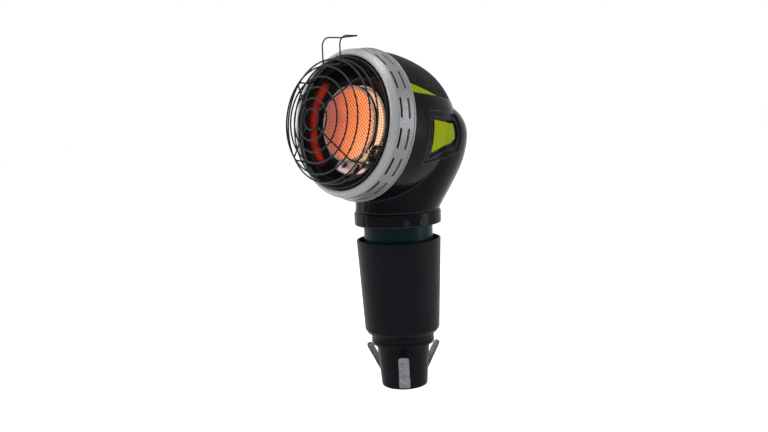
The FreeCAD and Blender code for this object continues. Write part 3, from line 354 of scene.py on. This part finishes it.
glow, glow_in, glow_out = new_group(
    "glow", [("Vector", "NodeSocketVector", None)], [("Colour", "NodeSocketColor")])
glow_place = glow_in.outputs[0]
glow_across, glow_up, glow_forward = add_node(glow, "ShaderNodeSeparateXYZ", (glow_place, 0)).outputs
glow_drift = add_node(glow, "ShaderNodeTexNoise", (glow_place, "Vector"), Scale=45.0, Detail=2.0)
glow_warm = ramp(glow, glow_across, *warm_span, To_Min=-0.06, To_Max=0.64)
glow_hot = ramp(glow, glow_across, *hot_span, To_Max=9.0)
glow_low = ramp(glow, glow_up, *low_span, To_Min=0.03, To_Max=0.0)
glow_sum = add_node(
    glow, "ShaderNodeMath", (glow_warm, 0), (product(glow, glow_hot, glow_low), 1), operation="ADD")
glow_heat = add_node(
    glow, "ShaderNodeMath", (glow_drift.outputs[0], 0), (glow_sum.outputs[0], 2), operation="MULTIPLY_ADD")
glow_heat.inputs[1].default_value = drift_share
glow_ramp = add_node(glow, "ShaderNodeValToRGB", (glow_heat.outputs[0], 0))
while len(glow_ramp.color_ramp.elements) < len(glow_stops):
    glow_ramp.color_ramp.elements.new(0.5)
for stop, (position, colour) in zip(glow_ramp.color_ramp.elements, glow_stops):
    stop.position = position
    stop.color = (*colour, 1.0)
glow_pale = product(glow, ramp(glow, glow_forward, *face_edge), ramp(glow, glow_across, *pale_span))
glow_mix = add_node(
    glow, "ShaderNodeMix", (glow_pale, 0), (glow_ramp.outputs[0], 6), data_type="RGBA")
glow_mix.inputs[7].default_value = (*pale_wall, 1.0)
glow.links.new(glow_mix.outputs[2], glow_out.inputs[0])


def heated(material, shader, strength):
    """The glow in a material, as light of the given strength; gives the head's coordinates."""
    coords = head_coords(material)
    node = add_node(material, "ShaderNodeGroup", (coords, 0), node_tree=glow)
    wire(material, node.outputs["Colour"], shader.inputs["Emission Color"])
    shader.inputs["Emission Strength"].default_value = strength
    return coords


tile_ceramic, shader = finish("tile ceramic", (0.10, 0.04, 0.02), 0.9, specular=0.1)
tile_coords = heated(tile_ceramic, shader, 1.95)
tile_pores = add_node(tile_ceramic, "ShaderNodeTexVoronoi", (tile_coords, "Vector"), Scale=700.0)
bump(tile_ceramic, shader, tile_pores.outputs["Distance"], 0.6, 0.0008)
paint(tile_ceramic, "burner_tile")

weave_angle = math.radians(38.0)
screen_radius = 0.0478
screen_pitch = 0.0040
screen_wire = 0.00050
screen_level = 0.08622
screen_wave = 0.00022
screen_sides = 5
band_radius = 0.0505
band_foot = 0.0706
band_top = 0.0836
band_wire = 0.00032
band_wave = 0.00012
band_posts = 2 * round(math.pi * band_radius / screen_pitch)
band_hoops = 1 + int((band_top - band_foot) / screen_pitch)
forward = Vector((0.0, 0.0, 1.0))


def outward(turn):
    return Vector((math.cos(turn), math.sin(turn), 0.0))


def join_rings(mesh, here, there):
    for side in range(screen_sides):
        following = (side + 1) % screen_sides
        mesh.faces.new((here[side], here[following], there[following], there[side]))


def add_wire(mesh, points, size):
    """A round wire along points, each with its own two cross directions."""
    rings = []
    for point, first, second in points:
        ring = []
        for side in range(screen_sides):
            angle = 2 * math.pi * side / screen_sides
            corner = point + first * size * math.cos(angle) + second * size * math.sin(angle)
            ring.append(mesh.verts.new(corner))
        rings.append(ring)
    for here, there in zip(rings, rings[1:]):
        join_rings(mesh, here, there)
    return rings


def add_rod(mesh, points, size):
    """A wire that is closed at both ends."""
    rings = add_wire(mesh, points, size)
    mesh.faces.new(rings[0])
    mesh.faces.new(rings[-1])


def weave_face(mesh):
    """Wires across the face in two directions, over and under each other."""
    count = int(screen_radius / screen_pitch)
    for turned in (False, True):
        sideways = Vector((1.0, 0.0, 0.0)) if turned else Vector((0.0, 1.0, 0.0))
        for index in range(-count, count + 1):
            across = index * screen_pitch
            reach = math.sqrt(screen_radius ** 2 - across ** 2)
            steps = max(2, int(4 * reach / screen_pitch))
            points = []
            for step in range(steps + 1):
                along = -reach + 2 * reach * step / steps
                phase = math.pi * (along / screen_pitch + index + turned)
                rise = screen_level + screen_wave * math.cos(phase)
                place = (across, along, rise) if turned else (along, across, rise)
                points.append((Vector(place), sideways, forward))
            add_rod(mesh, points, screen_wire)
    bmesh.ops.rotate(mesh, matrix=Matrix.Rotation(weave_angle, 3, "Z"), verts=mesh.verts)


def weave_hoops(mesh):
    """Closed hoops round the side wall, each bent in and out between the posts."""
    for index in range(band_hoops):
        level = band_foot + band_wire + index * screen_pitch
        points = []
        for step in range(2 * band_posts):
            out = outward(math.pi * step / band_posts)
            swing = band_wave * math.cos(math.pi * (step / 2 + index))
            points.append((out * (band_radius + swing) + forward * level, out, forward))
        rings = add_wire(mesh, points, band_wire)
        join_rings(mesh, rings[-1], rings[0])


def weave_posts(mesh):
    """Short wires along the side wall that pass the hoops on the other side."""
    for index in range(band_posts):
        out = outward(2 * math.pi * index / band_posts)
        across = Vector((-out.y, out.x, 0.0))
        points = []
        for step in range(2 * band_hoops):
            level = band_foot + (band_top - band_foot) * step / (2 * band_hoops - 1)
            swing = -band_wave * math.cos(math.pi * ((level - band_foot) / screen_pitch + index))
            points.append((out * (band_radius + swing) + forward * level, across, out))
        add_rod(mesh, points, band_wire)


def wire_screen():
    """The woven screen over the face and round the side, as one mesh."""
    mesh = bmesh.new()
    weave_face(mesh)
    weave_hoops(mesh)
    weave_posts(mesh)
    bmesh.ops.recalc_face_normals(mesh, faces=mesh.faces)
    return mesh


def new_piece(name, mesh, material, body):
    """A smooth mesh object made from a bmesh in the head's frame, riding on a body."""
    bmesh.ops.transform(mesh, matrix=head_axis, verts=mesh.verts)
    data = bpy.data.meshes.new(name)
    mesh.to_mesh(data)
    mesh.free()
    for face in data.polygons:
        face.use_smooth = True
    data.materials.append(material)
    piece = show(name, data)
    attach(piece, body)
    return piece


screen_steel, shader = finish("screen steel", (0.16, 0.08, 0.05), 0.6, 0.3)
heated(screen_steel, shader, 0.20)
woven_screen = new_piece("woven_screen", wire_screen(), screen_steel, "head")
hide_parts("burner_screen")

heat_steel, shader = finish("heat steel", (0.22, 0.17, 0.14), 0.42, 1.0)
heat_haze = skin(heat_steel, shader, 400.0, 60.0, 0.15, 0.0004, (0.34, 0.52))
tint(heat_steel, shader, heat_haze, (0.16, 0.12, 0.11), (0.30, 0.22, 0.17))
paint(heat_steel, "burner_rim")

plain_steel, shader = finish("plain steel", (0.50, 0.50, 0.50), 0.42, 1.0)
skin(plain_steel, shader, 300.0, 40.0, 0.12, 0.0004, (0.34, 0.50))
paint(plain_steel, "burner_plenum", "mixing_tube", "heat_shield")


# Reflector.
# A spun bowl with a rolled lip, painted near black for the dark it reflects, with a painted
# reflection of light in a patch low down and a painted red reflection of the burner on its -X wall,
# given as emitted light; round it the black enamelled can that closes the gap to the bezel.
reflection_low = (-0.044, -0.050)
reflection_side = (-0.036, -0.026)
reflection_rim = (0.0695, 0.0665)
reflection_breakup = (0.36, 0.52)
burner_reflection_rim = (0.0775, 0.0745)
burner_reflection_foot = (0.0705, 0.0730)
burner_reflection_side = (-0.046, -0.056)
burner_reflection_breakup = (0.36, 0.56)


def fade(material, source, start, end):
    """A mask that goes softly from 0 to 1 from start to end."""
    return ramp(material, source, start, end, interpolation_type="SMOOTHSTEP")


dish_metal, shader = finish("dish metal", (0.01, 0.01, 0.01), 0.16, specular=0.04)
dish_coords = head_coords(dish_metal)
dish_split = add_node(dish_metal, "ShaderNodeSeparateXYZ", (dish_coords, 0))
dish_across, dish_up = dish_split.outputs[0], dish_split.outputs[1]
dish_flat = add_node(dish_metal, "ShaderNodeCombineXYZ", (dish_across, 0), (dish_up, 1)).outputs[0]
spinning = add_node(
    dish_metal, "ShaderNodeTexWave", (dish_flat, "Vector"),
    wave_type="RINGS", rings_direction="Z", Scale=160.0, Distortion=0.3)
bump(dish_metal, shader, spinning.outputs["Fac"], 0.06, 0.0003)
vary(dish_metal, shader, spinning.outputs["Fac"], "Roughness", 0.12, 0.20)
dish_reach = add_node(
    dish_metal, "ShaderNodeVectorMath", (dish_flat, 0), operation="LENGTH").outputs["Value"]
dish_breakup_noise = add_node(
    dish_metal, "ShaderNodeTexNoise", (dish_coords, "Vector"), Scale=60.0, Detail=3.0).outputs[0]
# Painted reflection: a bright patch low down, broken by noise, on a base painted near black for the dark
# the bowl reflects.
dish_painted_reflection = product(
    dish_metal,
    fade(dish_metal, dish_up, *reflection_low),
    fade(dish_metal, dish_across, *reflection_side),
    fade(dish_metal, dish_reach, *reflection_rim),
    fade(dish_metal, dish_breakup_noise, *reflection_breakup))
tint(dish_metal, shader, dish_painted_reflection, (0.004, 0.004, 0.005), (0.80, 0.80, 0.82))
# Painted reflection of the burner: a dull red band on the -X wall, given as emitted light.
dish_burner_reflection = product(
    dish_metal,
    fade(dish_metal, dish_reach, *burner_reflection_rim),
    fade(dish_metal, dish_reach, *burner_reflection_foot),
    fade(dish_metal, dish_across, *burner_reflection_side),
    ramp(dish_metal, dish_breakup_noise, *burner_reflection_breakup, To_Min=0.35))
tint(dish_metal, shader, dish_burner_reflection, (0.0, 0.0, 0.0), (0.24, 0.012, 0.002), "Emission Color")
shader.inputs["Emission Strength"].default_value = 1.0
paint(dish_metal, "reflector")

flange_black, shader = finish("flange black", (0.004, 0.004, 0.005), 0.55, specular=0.04)
flange_haze = skin(flange_black, shader, 700.0, 60.0, 0.2, 0.0004, (0.48, 0.62))
tint(flange_black, shader, flange_haze, (0.003, 0.003, 0.004), (0.006, 0.006, 0.007))
paint(flange_black, "reflector_flange")


# Pilot group.
# A brass pilot hood, a glazed igniter electrode and a steel thermocouple on
# one small bracket, all tinted by the flame.
pilot_brass, shader = finish("pilot brass", (0.52, 0.38, 0.20), 0.4, 1.0)
pilot_haze = skin(pilot_brass, shader, 700.0, 90.0, 0.2, 0.0003, (0.32, 0.50))
tint(pilot_brass, shader, pilot_haze, (0.40, 0.28, 0.16), (0.60, 0.44, 0.24))
paint(pilot_brass, "pilot_burner")

probe_steel, shader = finish("probe steel", (0.50, 0.47, 0.43), 0.35, 1.0)
skin(probe_steel, shader, 700.0, 90.0, 0.12, 0.0003, (0.28, 0.46))
paint(probe_steel, "thermocouple")

electrode_glaze, shader = finish("electrode glaze", (0.82, 0.80, 0.75), 0.25)
skin(electrode_glaze, shader, 700.0, 60.0, 0.08, 0.0003, (0.20, 0.32))
paint(electrode_glaze, "igniter_electrode")

sooted_steel, shader = finish("sooted steel", (0.03, 0.028, 0.026), 0.55, 0.4)
soot = skin(sooted_steel, shader, 500.0, 70.0, 0.2, 0.0004, (0.46, 0.66))
tint(sooted_steel, shader, soot, (0.016, 0.015, 0.015), (0.055, 0.050, 0.046))
paint(sooted_steel, "pilot_bracket")


# Front bezel.
# A spun steel ring with a rolled bead and two rows of slots, in silver hammered
# paint, with a painted highlight that makes the rolled front edge paler.
painted_highlight_span = (0.0910, 0.0945)

hammered_silver, shader = finish("hammered silver", (0.18, 0.18, 0.19), 0.40, 0.30)
silver_coords = object_coords(hammered_silver)
hammer_marks = add_node(
    hammered_silver, "ShaderNodeTexVoronoi", (silver_coords, "Vector"), Scale=420.0, feature="SMOOTH_F1")
bump(hammered_silver, shader, hammer_marks.outputs["Distance"], 0.35, 0.0008, 0.0005)
vary(hammered_silver, shader, hammer_marks.outputs["Distance"], "Roughness", 0.34, 0.50)
bezel_split = add_node(hammered_silver, "ShaderNodeSeparateXYZ", (head_coords(hammered_silver), 0))
# Painted highlight: the base colour turns paler over the rolled front edge.
bezel_roll_highlight = ramp(hammered_silver, bezel_split.outputs[2], *painted_highlight_span)
flakes = add_node(hammered_silver, "ShaderNodeTexNoise", (silver_coords, "Vector"), Scale=700.0, Detail=2.0)
flakes_plus_highlight = add_node(
    hammered_silver, "ShaderNodeMath", (flakes.outputs[0], 0), (bezel_roll_highlight, 1), operation="ADD")
bezel_flakes_and_highlight = ramp(hammered_silver, flakes_plus_highlight.outputs[0], 0.0, 2.0)
tint(hammered_silver, shader, bezel_flakes_and_highlight, (0.10, 0.10, 0.11), (0.38, 0.38, 0.39))
paint(hammered_silver, "front_bezel")


# Guard.
# Rings and ribs of black enamelled wire, spot welded where they cross, and the
# bent loop on top.
guard_black, shader = finish("guard black", (0.005, 0.005, 0.007), 0.32, specular=0.16)
skin(guard_black, shader, 900.0, 120.0, 0.12, 0.0003, (0.26, 0.40))
paint(guard_black, "guard_face_rings", "guard_side_rings", "guard_ribs", "guard_loop")

face_rings = ((0.0137, 0.1528), (0.0273, 0.1509), (0.0420, 0.1461), (0.0562, 0.1411), (0.0703, 0.1367))
side_rings = ((0.0808, 0.1252), (0.0821, 0.1131), (0.0872, 0.1006))
rib_turns = (42.0, 138.0, 222.0, 318.0)
weld_size = 0.0013


def weld_beads():
    """A squashed bead where each rib meets a ring, as one mesh."""
    mesh = bmesh.new()
    places = [(radius, level - weld_size, (1.25, 1.25, 0.9)) for radius, level in face_rings]
    places += [(radius - weld_size, level, (0.9, 1.25, 1.25)) for radius, level in side_rings]
    for turn in rib_turns:
        for radius, level, shape in places:
            bead = bmesh.ops.create_icosphere(mesh, subdivisions=2, radius=weld_size)["verts"]
            bmesh.ops.scale(mesh, vec=shape, verts=bead)
            bmesh.ops.translate(mesh, vec=(radius, 0.0, level), verts=bead)
            bmesh.ops.rotate(mesh, matrix=Matrix.Rotation(math.radians(turn), 3, "Z"), verts=bead)
    return mesh


welds = new_piece("guard_welds", weld_beads(), guard_black, "head")


# Studio.
# A pale floor and backdrop. Soft lamps hang overhead and in front, and stand to
# both sides.
floor_size = 6.0
floor_level = -0.0002
floor_light = 0.75
sky_light = 0.30
sky_shown = 1.0
aim_point = Vector((0.0, 0.0, 0.28))

floor_mesh = bmesh.new()
bmesh.ops.create_grid(floor_mesh, x_segments=1, y_segments=1, size=floor_size)
floor_data = bpy.data.meshes.new("floor")
floor_mesh.to_mesh(floor_data)
floor_mesh.free()
floor = show("floor", floor_data)
floor.location = (0.0, 0.0, floor_level)
floor_white, shader = finish("floor white", (0.86, 0.86, 0.86), 0.9)
floor_rays = add_node(floor_white, "ShaderNodeLightPath").outputs
floor_seen = add_node(
    floor_white, "ShaderNodeMath", (floor_rays["Is Camera Ray"], 0), (floor_rays["Is Glossy Ray"], 1),
    operation="MAXIMUM")
floor_glow = add_node(floor_white, "ShaderNodeMath", (floor_seen.outputs[0], 0), operation="MULTIPLY")
floor_glow.inputs[1].default_value = floor_light
shader.inputs["Emission Color"].default_value = (1.0, 1.0, 1.0, 1.0)
wire(floor_white, floor_glow.outputs[0], shader.inputs["Emission Strength"])
floor_data.materials.append(floor_white)

world = bpy.data.worlds.new("studio")
bpy.context.scene.world = world
world.use_nodes = True
backdrop = world.node_tree.nodes["Background"]
backdrop.inputs["Color"].default_value = (1.0, 1.0, 1.0, 1.0)
sky_rays = add_node(world, "ShaderNodeLightPath").outputs
sky_seen = sky_rays["Is Camera Ray"]
for ray in ("Is Glossy Ray", "Is Transmission Ray"):
    either = add_node(world, "ShaderNodeMath", (sky_seen, 0), (sky_rays[ray], 1), operation="MAXIMUM")
    sky_seen = either.outputs[0]
sky_level = ramp(world, sky_seen, 0.0, 1.0, To_Min=sky_light, To_Max=sky_shown)
wire(world, sky_level, backdrop.inputs["Strength"])


def soft_lamp(name, place, width, height, power):
    """A rectangular lamp that points at the middle of the heater."""
    lamp = bpy.data.lights.new(name, "AREA")
    lamp.shape = "RECTANGLE"
    lamp.size = width
    lamp.size_y = height
    lamp.energy = power
    holder = show(name, lamp)
    holder.location = place
    holder.rotation_mode = "QUATERNION"
    holder.rotation_quaternion = (aim_point - Vector(place)).to_track_quat("-Z", "Y")


soft_lamp("lamp_right", (1.25, 0.75, 0.45), 0.4, 1.2, 12.0)
soft_lamp("lamp_left", (-1.4, -0.6, 0.7), 0.5, 1.4, 4.0)
soft_lamp("lamp_top", (0.1, 0.1, 1.9), 0.7, 0.7, 9.0)
soft_lamp("lamp_front", (-0.15, -1.35, 1.55), 0.35, 0.35, 17.0)
bpy.context.scene.view_settings.view_transform = "Standard"
